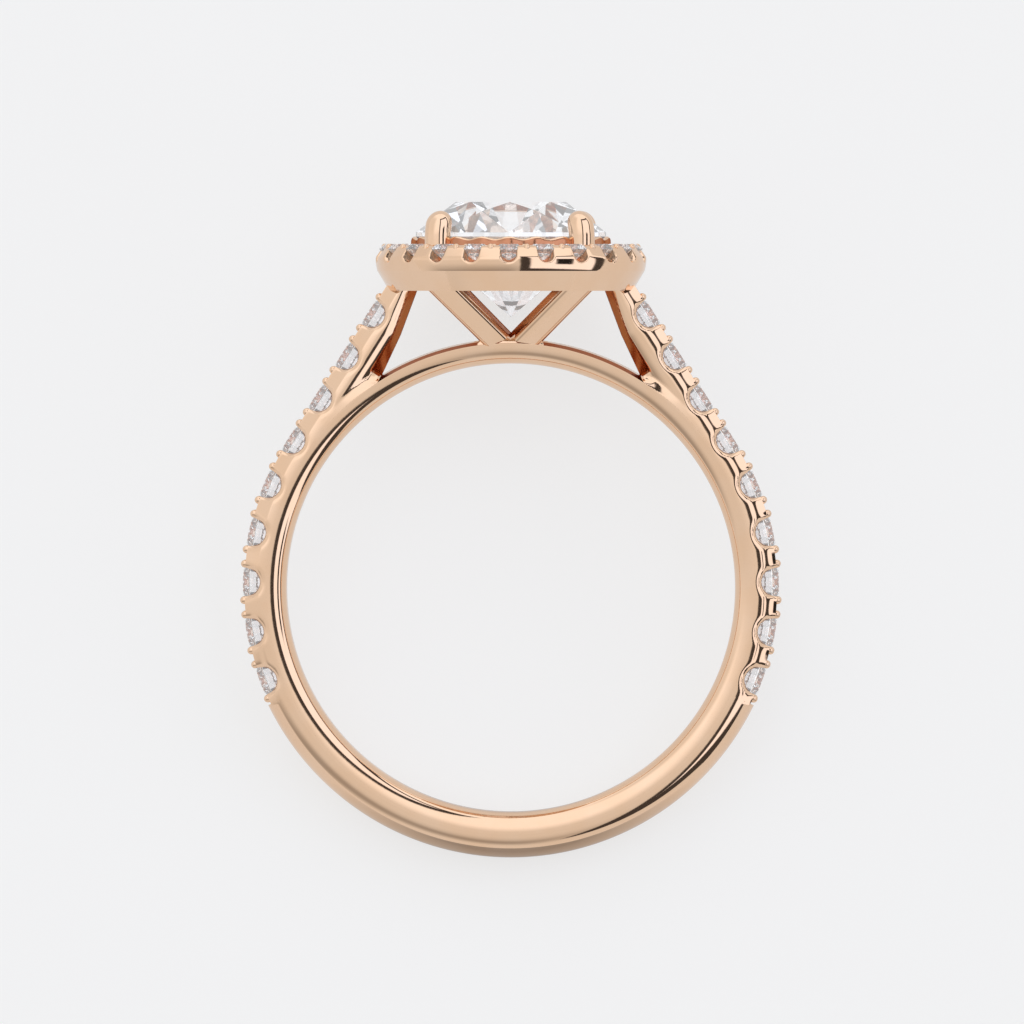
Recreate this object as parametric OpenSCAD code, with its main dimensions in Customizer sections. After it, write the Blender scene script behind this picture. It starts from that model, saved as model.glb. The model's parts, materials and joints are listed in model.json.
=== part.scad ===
// Halo ring lying on its side. The head points along +Y, the finger hole is at the origin.

/* [Finger band] */
// Inner diameter of the finger hole
finger_d = 16.5; // [14:0.1:20]
// Width of the band along the finger
band_w = 2.0; // [1.8:0.05:2.6]
// Wall of the slim hoop that runs all round the finger
hoop_wall = 0.85; // [0.8:0.05:1.2]
// Wall of the plain domed part of the band, at its crown
plain_wall = 1.69; // [1.5:0.01:2.1]
// Rise of the dome above the flat sides
dome_rise = 0.48; // [0.2:0.02:0.6]
// Length of each rounded mouth of the finger hole, along the finger
mouth_len = 0.4; // [0.3:0.05:0.5]
// How much each rounded mouth opens out
mouth_flare = 0.2; // [0.1:0.02:0.26]

/* [Side stones] */
// Diameter of a side stone
side_stone_d = 1.5; // [1.3:0.05:1.6]
// Space between neighbouring side stones
side_stone_space = 0.332; // [0.25:0.002:0.5]
// Number of side stones down each side
side_stone_count = 9; // [6:1:11]
// Wall of the scalloped part of the band, below its grip beads
scallop_wall = 1.55; // [1.45:0.01:2]
// Radius of the scallop cut under each side stone
scallop_r = 0.495; // [0.4:0.005:0.55]
// Depth of the scallop's centre below the stones' tables
scallop_sink = 0.14; // [0.05:0.01:0.3]
// How far the side stones' tables stand above the scalloped wall
table_proud = 0.06; // [0.02:0.01:0.15]
// Diameter of a grip bead
bead_d = 0.38; // [0.3:0.01:0.44]
// How far the grip beads stand above the side stones' tables
bead_proud = 0.11; // [0.05:0.01:0.2]
// Space between the centres of the two beads of a pair
bead_pair_space = 0.49; // [0.4:0.01:0.6]
// Metal between a grip bead and the edge it stands beside
bead_margin = 0.07; // [0.04:0.01:0.15]

/* [Halo] */
// Width of the halo from its inner to its outer wall
halo_w = 1.45; // [1.4:0.01:1.8]
// Height of the halo
halo_h = 1.67; // [1.5:0.01:2]
// Height of the plain strip round its foot
halo_foot_h = 0.73; // [0.6:0.01:0.9]
// How far the wall draws in from its widest line to the foot
halo_taper = 0.15; // [0.05:0.01:0.25]
// How far the wall is drawn in at the top of the foot strip
halo_strip_draw = 0.05; // [0.02:0.01:0.1]
// Radius of the rounded under edge
halo_foot_r = 0.4; // [0.2:0.01:0.5]
// Width of the bevel round the top edge
halo_bevel_w = 0.3; // [0.15:0.01:0.35]
// Height of the bevel round the top edge
halo_bevel_h = 0.24; // [0.1:0.01:0.3]
// Height of the straight stretch of wall below the bevel
halo_straight_h = 0.24; // [0.1:0.01:0.3]
// Diameter of a halo stone
halo_stone_d = 1.1; // [0.9:0.02:1.16]
// Least space between neighbouring halo stones
halo_stone_space = 0.12; // [0.08:0.01:0.3]
// Rim of metal outside the halo stones
halo_rim = 0.07; // [0.04:0.01:0.15]
// Depth of the halo stones' girdles below the halo's top
halo_stone_sink = 0.14; // [0.08:0.01:0.2]
// Radius of the notch cut in the wall under each halo stone
notch_r = 0.29; // [0.2:0.01:0.36]
// Depth of the notch's centre below the halo stones' girdles
notch_sink = 0.19; // [0.1:0.01:0.25]
// Diameter of the small beads between the halo stones
halo_bead_d = 0.24; // [0.16:0.01:0.3]
// How far the inner beads stand in from the inner edge of the stones
halo_bead_inset = 0.06; // [0.02:0.01:0.12]

/* [Centre stone] */
// Diameter of the centre stone
centre_stone_d = 7.0; // [6:0.1:7.6]
// Height of its girdle above the halo's top
centre_lift = 0.32; // [0.2:0.02:0.8]

/* [Stone cut] */
// Table width as a share of a stone's diameter
table_share = 0.58; // [0.53:0.01:0.63]
// Crown height as a share of a stone's diameter
crown_share = 0.16; // [0.12:0.005:0.17]
// Girdle height as a share of a stone's diameter
girdle_share = 0.022; // [0.015:0.001:0.03]
// Pavilion depth as a share of a stone's diameter
pavilion_share = 0.423; // [0.4:0.001:0.44]
// Radius reached by the lower halves' tips as a share of a stone's radius
lower_share = 0.23; // [0.15:0.01:0.3]

/* [Prongs and gallery] */
// Side of the square prong wire
prong_side = 0.8; // [0.6:0.02:0.9]
// How far a prong reaches in over the centre stone's girdle
prong_grip = 0.17; // [0.1:0.01:0.25]
// Rise of a prong above the girdle
prong_rise = 0.87; // [0.6:0.01:1.1]
// Radius of a prong's domed tip
prong_tip_r = 0.75; // [0.65:0.01:1.2]
// Side of the gallery bars that carry the prongs
gallery_bar = 0.92; // [0.7:0.02:1]
// Height of the gallery between the hoop and the halo
gallery_h = 1.83; // [1.5:0.01:2.6]
// Height above the halo's foot where a prong bends into its gallery bar
elbow_h = 0.61; // [0.5:0.01:0.9]
// How deep the gallery bars sink into the hoop
bar_sink = 0.2; // [0.1:0.01:0.4]

/* [Shoulders] */
// Width of a shoulder where it meets the halo
shoulder_top_w = 1.3; // [1:0.05:1.6]
// How far a shoulder's outer face stands in from the halo's wall
shoulder_inset = 0.2; // [0.1:0.01:0.4]
// Height of the upright end of a shoulder against the halo's wall
shoulder_end_h = 0.42; // [0.3:0.01:0.6]
// How far the inner corner of a shoulder's end sinks into the halo's foot
shoulder_sink = 0.08; // [0.04:0.01:0.15]
// Angle on the hoop between the head's axis and the foot of a window
window_foot_angle = 31.4; // [28:0.2:33]

/* [Clearance] */
// Gap between a stone and its seat
stone_gap = 0.03; // [0.02:0.005:0.06]

/* [Hidden] */
metal_colour = "#e0b193";
stone_colour = "#eef4f8";
big_fn = 128;
small_fn = 32;
profile_steps = 6;
join = 0.3;
lap_angle = 4;
through = 1;

finger_r = finger_d / 2;
half_w = band_w / 2;
hoop_r = finger_r + hoop_wall;
plain_r = finger_r + plain_wall;
wall_r = finger_r + scallop_wall;
table_r = wall_r + table_proud;
mouth_r = (pow(mouth_len, 2) + pow(mouth_flare, 2)) / (2 * mouth_flare);
dome_r = (pow(half_w, 2) + pow(dome_rise, 2)) / (2 * dome_rise);

// Heights along the head's axis, from the finger hole's centre
halo_r = centre_stone_d / 2 + halo_w;
halo_inner_r = centre_stone_d / 2;
foot_z = hoop_r + gallery_h;
top_z = foot_z + halo_h;
centre_z = top_z + centre_lift + centre_stone_d * girdle_share / 2;

// The row of side stones: a straight line down the shoulder, tangent to the round band
row_top = [halo_r - shoulder_inset, foot_z];
row_angle = atan2(row_top.y, row_top.x) - acos(table_r / norm(row_top));
row_line = sqrt(pow(norm(row_top), 2) - pow(table_r, 2));
side_pitch = side_stone_d + side_stone_space;
side_crown = side_stone_d * (crown_share + girdle_share / 2);
girdle_r = table_r - side_crown;
bead_x = (side_pitch - bead_pair_space) / 2;
bead_y = half_w - bead_d / 2 - bead_margin;
row_start = side_pitch / 2;
row_end = side_stone_count * side_pitch;
plain_angle = row_angle - (row_end - row_line) / girdle_r * 180 / PI;

// The circle of halo stones
halo_stone_r = halo_r - halo_rim - halo_stone_d / 2;
halo_stone_count = floor(2 * PI * halo_stone_r / (halo_stone_d + halo_stone_space));
halo_girdle_z = top_z - halo_stone_sink;
halo_step = 360 / halo_stone_count;

// Prong wires and the bars below them, in the planes between the ring's two main planes
prong_r = centre_stone_d / 2 - prong_grip + prong_side / 2;
prong_top_z = centre_z + prong_rise;
elbow_z = foot_z + elbow_h;
bar_foot_z = hoop_r - bar_sink;
bar_slope = atan2(elbow_z - bar_foot_z, prong_r);
bar_len = norm([prong_r, elbow_z - bar_foot_z]);

// The ring lies on the edge of its plain band and on the rim of its halo
rest_edge_r = plain_r - dome_rise;
rest_tilt = max([for (p = halo_profile()) atan2(p.x - half_w, p.y + foot_z + rest_edge_r)]);

function two_digits(i) = str(i < 10 ? "0" : "", i);
function halo_name(i) = str("halo_stone_", two_digits(i));
function left_name(i) = str("left_stone_", two_digits(i));
function right_name(i) = str("right_stone_", two_digits(i));

// Radius of the finger hole's wall at a distance from the middle of the band
function bore_r(y) =
    let (past = max(0, abs(y) - half_w + mouth_len))
    finger_r + mouth_r - sqrt(pow(mouth_r, 2) - pow(past, 2));

// Radius and height of points round the halo's section, heights from its foot
function halo_profile() = concat(
    [[halo_inner_r, 0]],
    [for (k = [0 : profile_steps])
        let (a = 90 * k / profile_steps)
        [halo_r - halo_taper - halo_foot_r * (1 - sin(a)), halo_foot_r * (1 - cos(a))]],
    [[halo_r - halo_strip_draw, halo_foot_h],
     [halo_r, halo_h - halo_bevel_h - halo_straight_h],
     [halo_r, halo_h - halo_bevel_h],
     [halo_r - halo_bevel_w, halo_h],
     [halo_inner_r, halo_h]]
);

// Place and outward angle of a point on the row's girdle line, a way down from the halo
function row_place(way) =
    way < row_line
        ? [row_top.x + way * sin(row_angle) - side_crown * cos(row_angle),
           row_top.y - way * cos(row_angle) - side_crown * sin(row_angle),
           row_angle]
        : let (a = row_angle - (way - row_line) / girdle_r * 180 / PI)
          [girdle_r * cos(a), girdle_r * sin(a), a];

function side_stone_way(i) = row_start + (i - 1) * side_pitch;

// Turns a shape drawn upright, head along +Z, to the way the ring lies
module lie_on_side() {
    rotate([rest_tilt - 90, 0, 0]) children();
}

// Turns a shape drawn round the Z axis to stand round the finger
module around_finger() {
    rotate([90, 0, 0]) children();
}

module on_both_sides() {
    children();
    mirror([1, 0, 0]) children();
}

// Carries a shape to a place on the right-hand row, its +Z pointing outwards
module on_row(way) {
    place = row_place(way);
    translate([place[0], 0, place[1]]) rotate([0, 90 - place[2], 0]) children();
}

module on_halo(turn, radius, height) {
    rotate([0, 0, turn - 90]) translate([radius, 0, height]) children();
}

module at_prongs() {
    for (turn = [45 : 90 : 315]) rotate([0, 0, turn]) children();
}

// Round brilliant: table, 8 stars, 8 kites, 16 upper halves, girdle, 16 lower halves, 8 mains
module brilliant(d) {
    r = d / 2;
    half_girdle = d * girdle_share / 2;
    crown = d * crown_share;
    pavilion = d * pavilion_share;
    half_step = 360 / 16;
    table = r * table_share;
    star = (table * cos(half_step) + r) / 2;
    lower = r * lower_share;
    star_z = half_girdle + (r - star * cos(half_step)) * crown / (r - table);
    lower_z = -half_girdle - (r - lower * cos(half_step)) * pavilion / r;
    ring = function (radius, z, count, turn)
        [for (k = [0 : count - 1]) let (a = 360 * k / count + turn)
            [radius * cos(a), radius * sin(a), z]];
    points = concat(
        ring(table, half_girdle + crown, 8, 0),
        ring(star, star_z, 8, half_step),
        ring(r, half_girdle, 16, 0),
        ring(r, -half_girdle, 16, 0),
        ring(lower, lower_z, 8, half_step),
        [[0, 0, -half_girdle - pavilion]]
    );
    star_at = function (k) 8 + (k + 8) % 8;
    top_at = function (j) 16 + j % 16;
    low_at = function (j) 32 + j % 16;
    lower_at = function (k) 48 + (k + 8) % 8;
    culet = 56;
    faces = concat(
        [[7, 6, 5, 4, 3, 2, 1, 0]],
        [for (k = [0 : 7]) [(k + 1) % 8, star_at(k), k]],
        [for (k = [0 : 7]) [star_at(k), top_at(2 * k), star_at(k - 1), k]],
        [for (k = [0 : 7]) [top_at(2 * k + 1), top_at(2 * k), star_at(k)]],
        [for (k = [0 : 7]) [top_at(2 * k + 2), top_at(2 * k + 1), star_at(k)]],
        [for (j = [0 : 15]) [top_at(j), top_at(j + 1), low_at(j + 1), low_at(j)]],
        [for (k = [0 : 7]) [lower_at(k), low_at(2 * k), low_at(2 * k + 1)]],
        [for (k = [0 : 7]) [lower_at(k), low_at(2 * k + 1), low_at(2 * k + 2)]],
        [for (k = [0 : 7]) [culet, lower_at(k - 1), low_at(2 * k), lower_at(k)]]
    );
    polyhedron(points, faces);
}

// Space that a stone drops into from above: its pavilion with clearance, open at the top
module stone_seat(d, open_h) {
    r = d / 2 + stone_gap;
    slope = atan2(d * pavilion_share, d / 2);
    tip_z = -d * (girdle_share / 2 + pavilion_share) - stone_gap / cos(slope);
    rotate_extrude($fn = small_fn)
        polygon([[0, tip_z], [r, tip_z + r * tan(slope)], [r, open_h], [0, open_h]]);
}

// Space of a whole stone with clearance all round, up to the height of its table
module stone_space(d) {
    r = d / 2 + stone_gap;
    slope = atan2(d * pavilion_share, d / 2);
    tip_z = -d * (girdle_share / 2 + pavilion_share) - stone_gap / cos(slope);
    table = d / 2 * table_share + stone_gap;
    table_z = d * (girdle_share / 2 + crown_share) + stone_gap;
    rotate_extrude($fn = big_fn)
        polygon([
            [0, tip_z],
            [r, tip_z + r * tan(slope)],
            [r, d * girdle_share / 2 + stone_gap],
            [table, table_z],
            [0, table_z]
        ]);
}

// Round-topped post, its top above the base plane and its root below
module grip_bead(d, top, root) {
    rotate_extrude($fn = small_fn)
        intersection() {
            union() {
                translate([0, top - d / 2]) circle(d = d);
                translate([0, -root]) square([d / 2, top - d / 2 + root]);
            }
            translate([0, -root]) square([d, top + root]);
        }
}

// Slim hoop with rounded mouths, which is the whole wall between the shoulders
module finger_hoop() {
    inner = [for (side = [-1, 1])
        for (k = [0 : profile_steps])
            let (share = side < 0 ? k / profile_steps : 1 - k / profile_steps)
            let (y = side * (half_w - mouth_len * share))
            [bore_r(y), y]];
    around_finger()
        rotate_extrude($fn = big_fn)
            polygon(concat([[hoop_r, -half_w]], inner, [[hoop_r, half_w]]));
}

// Plain domed band round the bottom, from the end of one row to the end of the other
module plain_band() {
    around_finger()
        rotate([0, 0, 180 - plain_angle])
            rotate_extrude(angle = 180 + 2 * plain_angle, $fn = big_fn)
                intersection() {
                    translate([hoop_r - join, -half_w]) square([plain_r - hoop_r + join, band_w]);
                    translate([plain_r - dome_r, 0]) circle(r = dome_r, $fn = big_fn);
                }
}

// Round stretch of the scalloped wall on the right-hand side
module scalloped_arc() {
    around_finger()
        rotate([0, 0, plain_angle])
            rotate_extrude(angle = row_angle - plain_angle, $fn = big_fn)
                translate([hoop_r - join, -half_w]) square([wall_r - hoop_r + join, band_w]);
}

// Straight stretch of the scalloped wall, rising to the halo, with the window's side cut clear
module shoulder() {
    outer = row_top - table_proud * [cos(row_angle), sin(row_angle)];
    end_x = halo_r - shoulder_inset / 2;
    inner_x = row_top.x - shoulder_top_w;
    mid_r = (finger_r + hoop_r) / 2;
    foot = [sin(window_foot_angle), cos(window_foot_angle)];
    around_finger()
        linear_extrude(band_w, center = true)
            polygon([
                wall_r * [cos(row_angle), sin(row_angle)],
                outer,
                [end_x, foot_z],
                [end_x, foot_z + shoulder_end_h],
                [halo_inner_r + join, foot_z + shoulder_end_h],
                [halo_inner_r + join, foot_z + shoulder_sink],
                [inner_x, foot_z + shoulder_sink],
                hoop_r * foot,
                mid_r * foot,
                mid_r * [cos(row_angle - lap_angle), sin(row_angle - lap_angle)]
            ]);
}

module halo_wall() {
    translate([0, 0, foot_z])
        rotate_extrude($fn = big_fn) polygon(halo_profile());
}

// Square prong wire with a domed tip, standing just inside the halo
module prong() {
    height = prong_top_z - elbow_z;
    translate([prong_r, 0, elbow_z])
        intersection() {
            translate([0, 0, height / 2])
                cube([prong_side, prong_side, height], center = true);
            union() {
                translate([0, 0, height - prong_tip_r]) sphere(r = prong_tip_r, $fn = big_fn);
                cylinder(h = height - prong_tip_r, r = prong_tip_r, $fn = big_fn);
            }
        }
}

// Bar from the prong's elbow down to the middle of the hoop
module gallery_arm() {
    translate([prong_r, 0, elbow_z])
        rotate([0, -bar_slope, 0])
            translate([(join - bar_len) / 2, 0, 0])
                cube([bar_len + join, gallery_bar, gallery_bar], center = true);
}

// The four grip beads at the corners of one side stone
module side_beads() {
    for (x = [-bead_x, bead_x])
        for (y = [-bead_y, bead_y])
            translate([x, y, 0]) grip_bead(bead_d, side_crown + bead_proud, join);
}

module side_cut() {
    translate([0, 0, side_crown - scallop_sink])
        rotate([90, 0, 0])
            cylinder(h = band_w + through, r = scallop_r, center = true, $fn = small_fn);
    stone_seat(side_stone_d, side_crown + bead_proud + through);
}

// Beads in one gap of the halo, beside the outer and the inner edge of its stones
module halo_beads(i) {
    turn = (i - 0.5) * halo_step;
    outer_r = halo_r - halo_bevel_w;
    inner_r = halo_stone_r - halo_stone_d / 2 + halo_bead_inset;
    for (radius = [inner_r, outer_r])
        on_halo(turn, radius, halo_girdle_z)
            grip_bead(halo_bead_d, halo_stone_sink + table_proud, join);
}

module halo_cut(i) {
    on_halo((i - 1) * halo_step, halo_stone_r, halo_girdle_z) {
        stone_seat(halo_stone_d, halo_stone_sink + table_proud + stone_gap);
        translate([0, 0, -notch_sink])
            rotate([0, 90, 0]) cylinder(h = halo_w, r = notch_r, $fn = small_fn);
        translate([0, -notch_r, -notch_sink])
            cube([halo_w, 2 * notch_r, notch_sink + halo_stone_sink + table_proud]);
    }
}

// Everything of metal, soldered into one piece
module ring_metal() {
    color(metal_colour)
        lie_on_side()
            difference() {
                union() {
                    finger_hoop();
                    plain_band();
                    on_both_sides() {
                        scalloped_arc();
                        shoulder();
                        for (i = [1 : side_stone_count]) on_row(side_stone_way(i)) side_beads();
                    }
                    halo_wall();
                    for (i = [1 : halo_stone_count]) halo_beads(i);
                    at_prongs() {
                        prong();
                        gallery_arm();
                    }
                }
                on_both_sides()
                    for (i = [1 : side_stone_count]) on_row(side_stone_way(i)) side_cut();
                for (i = [1 : halo_stone_count]) halo_cut(i);
                translate([0, 0, centre_z]) stone_space(centre_stone_d);
            }
}

module centre_stone() {
    color(stone_colour)
        lie_on_side()
            translate([0, 0, centre_z]) brilliant(centre_stone_d);
}

module halo_stone(i) {
    color(stone_colour)
        lie_on_side()
            on_halo((i - 1) * halo_step, halo_stone_r, halo_girdle_z) brilliant(halo_stone_d);
}

module right_stone(i) {
    color(stone_colour)
        lie_on_side()
            on_row(side_stone_way(i)) brilliant(side_stone_d);
}

module left_stone(i) {
    color(stone_colour)
        lie_on_side()
            mirror([1, 0, 0]) on_row(side_stone_way(i)) brilliant(side_stone_d);
}

ring_metal();
centre_stone();
for (i = [1 : halo_stone_count]) halo_stone(i);
for (i = [1 : side_stone_count]) left_stone(i);
for (i = [1 : side_stone_count]) right_stone(i);
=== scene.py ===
import json
import math
import bmesh
import bpy
from bpy.props import FloatProperty, FloatVectorProperty, IntProperty, PointerProperty
from mathutils import Matrix, Vector


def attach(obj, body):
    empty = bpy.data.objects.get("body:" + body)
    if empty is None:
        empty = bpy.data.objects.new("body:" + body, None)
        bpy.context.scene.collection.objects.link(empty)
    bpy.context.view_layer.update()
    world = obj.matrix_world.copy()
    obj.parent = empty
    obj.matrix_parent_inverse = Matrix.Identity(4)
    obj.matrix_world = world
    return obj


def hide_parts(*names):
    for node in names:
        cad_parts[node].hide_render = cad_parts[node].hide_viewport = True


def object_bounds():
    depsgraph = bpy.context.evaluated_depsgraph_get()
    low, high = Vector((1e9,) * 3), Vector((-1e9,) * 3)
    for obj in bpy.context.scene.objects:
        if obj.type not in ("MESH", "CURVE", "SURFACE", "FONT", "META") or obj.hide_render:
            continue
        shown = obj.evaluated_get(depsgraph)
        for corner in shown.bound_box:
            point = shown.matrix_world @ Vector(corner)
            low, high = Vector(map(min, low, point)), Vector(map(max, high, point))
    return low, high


bl_info = {
    "name": "Halo Ring",
    "version": (1, 0, 0),
    "blender": (4, 5, 0),
    "location": "View3D > Sidebar > Halo Ring",
    "description": "Rose gold ring with a round halo, scalloped shoulders and brilliant stones",
    "category": "Add Mesh",
}

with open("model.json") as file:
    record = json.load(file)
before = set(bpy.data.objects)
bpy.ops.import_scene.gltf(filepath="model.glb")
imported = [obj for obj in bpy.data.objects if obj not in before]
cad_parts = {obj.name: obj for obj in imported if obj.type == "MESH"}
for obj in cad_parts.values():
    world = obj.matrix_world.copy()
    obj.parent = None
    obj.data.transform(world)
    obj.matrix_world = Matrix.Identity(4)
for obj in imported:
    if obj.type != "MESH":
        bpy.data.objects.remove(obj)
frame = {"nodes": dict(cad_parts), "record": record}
CAD_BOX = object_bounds()
HOLE = frame["record"]["mounts"][0]
LEAN = math.atan2(-HOLE["axis"][1], HOLE["axis"][2])
# The ring is drawn upright in millimetres: +X right, +Y to the head, +Z to the near side
LAY_DOWN = Matrix.Rotation(LEAN, 4, "X") @ Matrix.Scale(0.001, 4)
RIGHT = Vector((1, 0, 0))
HEAD = Vector((0, math.cos(LEAN), math.sin(LEAN)))
NEAR = Vector((0, -math.sin(LEAN), math.cos(LEAN)))


# Sizes and finish

def length(name, millimetres, description):
    return FloatProperty(name=name, description=description, default=millimetres / 1000,
                         min=0, precision=5, unit="LENGTH")


class RingSizes(bpy.types.PropertyGroup):
    finger_d: length("Finger Hole", 2 * HOLE["dims"]["r_mm"], "Inner diameter of the finger hole")
    band_w: length("Band Width", 2.0, "Width of the band along the finger")
    hoop_wall: length("Hoop Wall", 0.92, "Wall of the slim hoop, measured in the windows")
    plain_wall: length("Plain Wall", 1.69, "Wall of the plain domed band at its crown")
    scallop_wall: length("Scallop Wall", 1.55, "Wall of the scalloped band")
    side_stone_d: length("Side Stone", 1.5, "Diameter of a side stone")
    side_pitch: length("Side Pitch", 1.832, "Distance from one side stone to the next")
    side_count: IntProperty(name="Side Stones", description="Stones down each side", default=9, min=1)
    halo_r: length("Halo Radius", 4.95, "Outer radius of the halo at its widest")
    halo_h: length("Halo Height", 1.67, "Height of the halo")
    halo_foot: length("Halo Foot", 10.93, "Height of the halo's foot above the finger's centre")
    halo_stone_d: length("Halo Stone", 1.1, "Diameter of a halo stone")
    halo_count: IntProperty(name="Halo Stones", description="Stones round the halo", default=22, min=3)
    centre_stone_d: length("Centre Stone", 7.0, "Diameter of the centre stone")
    prong_side: length("Prong Depth", 0.8, "Depth of a prong beside the centre stone")
    prong_wire: length("Prong Wire", 0.97, "Diameter of a prong's round wire")
    gallery_bar: length("Gallery Bar", 0.92, "Side of a square gallery bar")


class RingFinish(bpy.types.PropertyGroup):
    gold: FloatVectorProperty(name="Rose Gold", description="Colour of the polished rose gold",
                              subtype="COLOR", size=3, min=0, max=1, default=(0.9, 0.635, 0.445))
    gold_warm: FloatVectorProperty(name="Warm Gold", description="Redder tone in the alloy",
                                   subtype="COLOR", size=3, min=0, max=1, default=(0.89, 0.612, 0.415))
    # Recess gold: its dark red-brown colour is painted shade and reflection of gold in gold, while its
    # dullness is real
    gold_painted_shade: FloatVectorProperty(name="Painted Shade Gold", description="Duller metal in the recesses, its colour painted shade and reflection",
                                   subtype="COLOR", size=3, min=0, max=1, default=(0.56, 0.25, 0.14))
    gold_roughness: FloatProperty(name="Polish", description="Roughness of the polished metal",
                                  default=0.055, min=0, max=1, subtype="FACTOR")
    stone: FloatVectorProperty(name="Diamond", description="Colour of the clear stones",
                               subtype="COLOR", size=3, min=0, max=1, default=(0.985, 0.99, 1.0))
    floor: FloatVectorProperty(name="Floor", description="Colour of the pale floor",
                               subtype="COLOR", size=3, min=0, max=1, default=(0.25, 0.25, 0.25))
    floor_glow: FloatProperty(name="Floor Glow", description="Light that comes through the floor",
                              default=0.675, min=0)
    light: FloatProperty(name="Studio Light", description="Strength of the studio's soft light",
                         default=1.0, min=0)


def mm(metres):
    return metres * 1000


def sizes():
    return bpy.context.scene.ring_sizes


def finish():
    return bpy.context.scene.ring_finish


# Drawing helpers

def arc(x, y, radius, start, end, steps):
    """Points of an arc in a drawing, angles in degrees"""
    turns = [math.radians(start + (end - start) * k / steps) for k in range(steps + 1)]
    return [(x + radius * math.cos(t), y + radius * math.sin(t)) for t in turns]


def along(table, x):
    """Value at x of a line drawn through the points of a table"""
    if x <= table[0][0]:
        return table[0][1]
    for (x0, y0), (x1, y1) in zip(table, table[1:]):
        if x <= x1:
            return y0 + (y1 - y0) * (x - x0) / (x1 - x0)
    return table[-1][1]


def fall(table, x):
    """Depth lost at x on a surface whose tilt in degrees changes along the table"""
    depth = 0
    for (x0, tilt0), (x1, tilt1) in zip(table, table[1:]):
        if x <= x0:
            break
        part = min(x, x1) - x0
        tilt = tilt0 + (tilt1 - tilt0) * part / (x1 - x0) / 2
        depth += part * math.tan(math.radians(tilt))
    return depth


def draw(bm, points, closed=True):
    """Joins a drawing's points with edges"""
    corners = [bm.verts.new(p) for p in points]
    nexts = corners[1:] + (corners[:1] if closed else [])
    return corners + [bm.edges.new(pair) for pair in zip(corners, nexts)]


def turn_full(bm, section, axis, steps, centre=(0, 0, 0), closed=True):
    """Spins a section all round an axis; an open one starts and ends on the axis"""
    bmesh.ops.spin(bm, geom=draw(bm, section, closed), cent=centre, axis=axis, angle=2 * math.pi,
                   steps=steps, use_merge=True, use_duplicate=False)


def copy_round(bm, count):
    """Repeats the mesh all round the centre stone's axis"""
    bmesh.ops.spin(bm, geom=bm.verts[:] + bm.edges[:] + bm.faces[:], cent=(0, 0, 0),
                   axis=(0, 1, 0), angle=2 * math.pi, steps=count, use_duplicate=True,
                   use_merge=False)


def swing(bm, angle, axis):
    bmesh.ops.rotate(bm, verts=bm.verts, cent=(0, 0, 0), matrix=Matrix.Rotation(angle, 3, axis))


def round_edges(bm, edges, width, segments, clamp=False):
    bmesh.ops.bevel(bm, geom=edges, offset=width, segments=segments, profile=0.5,
                    affect="EDGES", material=-1, clamp_overlap=clamp)


def slab(bm, points, top, bottom):
    """A plate between two heights, from the outline of its face"""
    face = bm.faces.new([bm.verts.new((x, y, top)) for x, y in points])
    sides = bmesh.ops.extrude_face_region(bm, geom=[face], use_keep_orig=True)
    lower = [v for v in sides["geom"] if isinstance(v, bmesh.types.BMVert)]
    bmesh.ops.translate(bm, verts=lower, vec=(0, 0, bottom - top))


def slice_at(bm, point, normal):
    """Adds a row of corners where a plane crosses the mesh"""
    bmesh.ops.bisect_plane(bm, geom=bm.verts[:] + bm.edges[:] + bm.faces[:], dist=1e-5,
                           plane_co=point, plane_no=normal)


def merge_near(bm):
    bmesh.ops.remove_doubles(bm, verts=bm.verts, dist=2e-4)


def made_sound(bm):
    merge_near(bm)
    bmesh.ops.dissolve_degenerate(bm, dist=1e-5, edges=bm.edges)
    bmesh.ops.recalc_face_normals(bm, faces=bm.faces)


def as_object(bm, name):
    mesh = bpy.data.meshes.new(name)
    bm.to_mesh(mesh)
    bm.free()
    piece = bpy.data.objects.new(name, mesh)
    bpy.context.scene.collection.objects.link(piece)
    return piece


def carved(bm, cutter_bm):
    """The mesh with the cutter's space taken out of it"""
    body, cutter = as_object(bm, "body"), as_object(cutter_bm, "cutter")
    cut = body.modifiers.new("seats", "BOOLEAN")
    cut.object, cut.operation, cut.solver = cutter, "DIFFERENCE", "EXACT"
    shape = body.evaluated_get(bpy.context.evaluated_depsgraph_get()).to_mesh()
    result = bmesh.new()
    result.from_mesh(shape)
    merge_near(result)
    for spare in (body, cutter):
        mesh = spare.data
        bpy.data.objects.remove(spare)
        bpy.data.meshes.remove(mesh)
    return result


def keep(bm, name, gold, sharp=34, crease=None, painted_shade_faces=None):
    """Turns a drawn mesh into a finished metal piece in the ring's place; faces that the mask picks get
    the recess gold, whose colour is painted shade and reflection
    """
    # Faces in the mask get the second material, the recess gold with painted shade and reflection
    if painted_shade_faces is not None:
        bm.normal_update()
        for face in bm.faces:
            face.material_index = int(painted_shade_faces(face.calc_center_median(), face.normal))
    for face in bm.faces:
        face.smooth = True
    for edge in bm.edges:
        edge.smooth = len(edge.link_faces) == 2 and edge.calc_face_angle() < math.radians(sharp)
        if crease is not None and all(abs(v.co.y - crease) < 1e-3 for v in edge.verts):
            edge.smooth = False
    bm.transform(LAY_DOWN)
    piece = as_object(bm, name)
    piece.data.materials.append(gold_for(gold))
    if painted_shade_faces is not None:
        piece.data.materials.append(gold_for("Recess Shade"))
    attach(piece, "root")
    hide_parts("ring_metal")


def mirrored(bm):
    """The left-hand copy of a right-hand mesh"""
    copy = bm.copy()
    bmesh.ops.scale(copy, vec=(-1, 1, 1), verts=copy.verts)
    bmesh.ops.reverse_faces(copy, faces=copy.faces)
    return copy


# The ring's lines

# Radii: where the hoop's face ends, its rim in the windows, and the bands' foot inside the hoop
HOOP_EDGE, HOOP_RIM, SUNK = 9.0, 9.115, 8.8
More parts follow.
